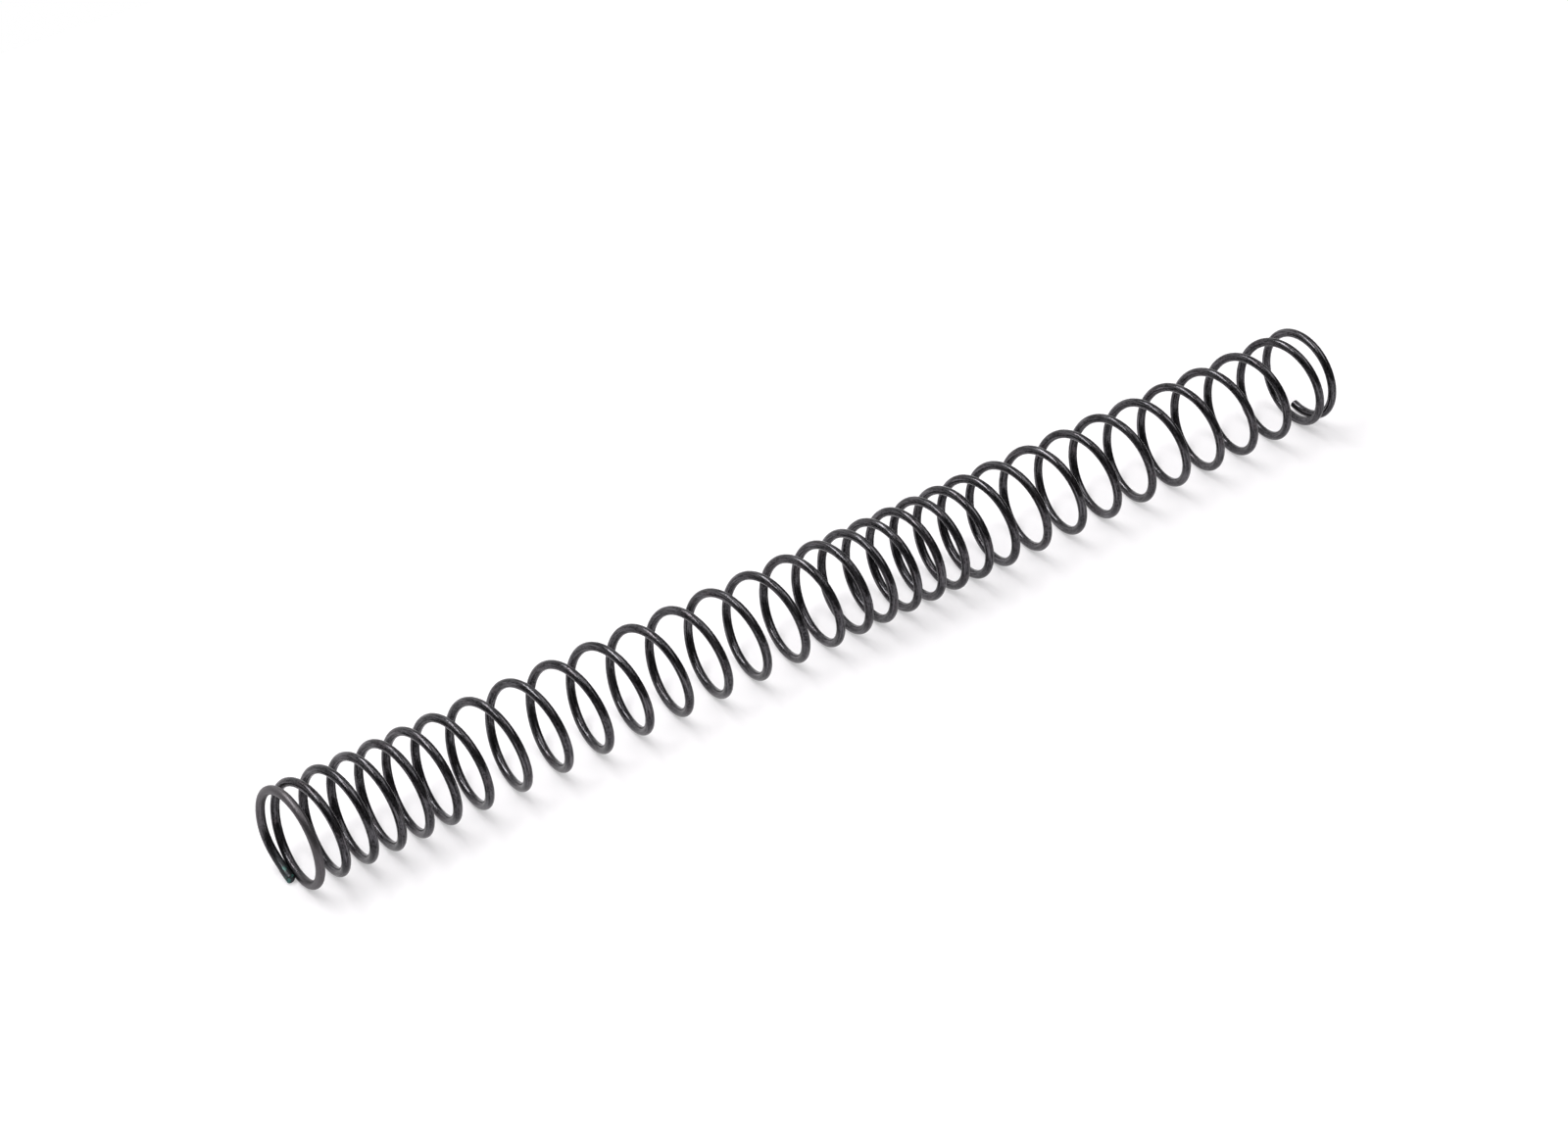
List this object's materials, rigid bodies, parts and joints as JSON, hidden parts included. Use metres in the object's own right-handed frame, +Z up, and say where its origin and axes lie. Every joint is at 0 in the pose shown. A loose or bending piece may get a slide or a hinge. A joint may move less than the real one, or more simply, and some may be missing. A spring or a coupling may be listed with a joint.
{
  "type": "compression spring",
  "caption": "Long helical compression spring of round blackened wire, with closed unground ends and alternating fine and wide pitch, lying on its side.",
  "frame": {"origin": "on the surface that the spring lies on, under the middle of its length", "axes": "+X along the spring's axis from the near end to the far end, +Z up, away from the surface that it lies on"},
  "size_m": [0.1414, 0.0118, 0.0117],
  "materials": {
    "black_wire": "satin black oxide"
  },
  "bodies": {
    "root": {"coil_spring": "black_wire"}
  },
  "joints": []
}
